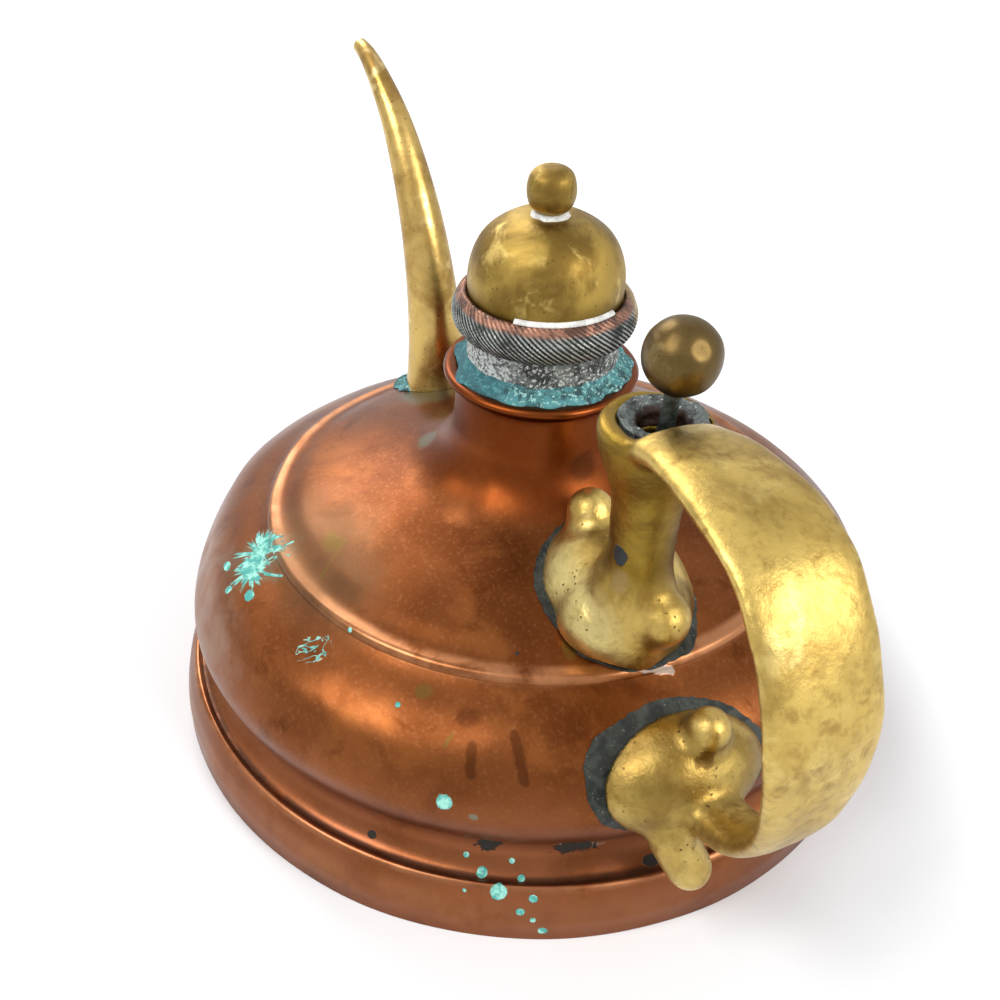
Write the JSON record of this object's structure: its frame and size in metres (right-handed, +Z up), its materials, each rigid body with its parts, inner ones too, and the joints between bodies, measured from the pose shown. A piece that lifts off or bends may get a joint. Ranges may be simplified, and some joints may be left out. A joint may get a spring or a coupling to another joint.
{
  "type": "oil filler can",
  "caption": "Squat copper oil can on a stepped foot, with a tapered brass spout, a screw cap with a ball finial and a strap handle that holds a thumb air valve.",
  "frame": {"origin": "centre of the foot's underside, on the can's axis", "axes": "+Z up along the can's axis, the handle towards -X, the spout towards +X and swung a little to +Y"},
  "size_m": [0.152, 0.127, 0.0997],
  "materials": {
    "aged_copper": "satin, patinated",
    "cast_brass": "satin, patinated",
    "dull_brass": "dull, patinated",
    "spout_brass": "satin",
    "knurled_brass": "dark, worn on the ridges",
    "collar_brass": "dull, tinned",
    "solder": "matte",
    "verdigris_solder": "matte, corroded",
    "valve_brass": "satin",
    "spring_steel": "bright",
    "cork": "matte",
    "leather": "matte"
  },
  "bodies": {
    "can": {"body_shell": "aged_copper", "shoulder_shell": "aged_copper", "foot_ring": "aged_copper", "bottom_plate": "aged_copper", "filler_collar": "collar_brass", "collar_solder": "verdigris_solder", "spout_socket": "spout_brass", "spout_tube": "spout_brass", "spout_solder": "verdigris_solder", "upper_bracket": "cast_brass", "lower_bracket": "cast_brass", "handle_strap": "cast_brass", "upper_solder_bed": "solder", "lower_solder_bed": "solder", "cup_ring": "solder", "valve_seat": "valve_brass", "valve_spring": "spring_steel"},
    "gasket": {"cap_gasket": "cork"},
    "cap": {"cap_ring": "knurled_brass", "cap_dome": "dull_brass", "cap_backing_plate": "valve_brass", "finial_ball": "dull_brass", "finial_stud": "valve_brass", "finial_washer": "solder"},
    "valve": {"valve_knob": "dull_brass", "valve_rod": "valve_brass", "spring_collar": "valve_brass", "valve_washer": "leather", "valve_disc": "valve_brass", "valve_nut": "valve_brass"}
  },
  "joints": [
    {"name": "cap_rise", "type": "slide", "parent": "can", "child": "gasket", "axis": [0, 0, 1], "range_m": [0, 0.0161]},
    {"name": "cap_turn", "type": "hinge", "parent": "gasket", "child": "cap", "pos_m": [0, 0, 0.0716], "axis": [0, 0, 1], "range_deg": [0, 1800]},
    {"name": "valve_press", "type": "slide", "parent": "can", "child": "valve", "axis": [0, 0, -1], "range_m": [0, 0.003], "stiffness_N_per_m": 250, "springref_m": -0.004, "deforming": ["valve_spring"]}
  ],
  "couplings": [
    {"joint": "cap_rise", "follows": "cap_turn", "m_per_rad": 0.0005093}
  ]
}
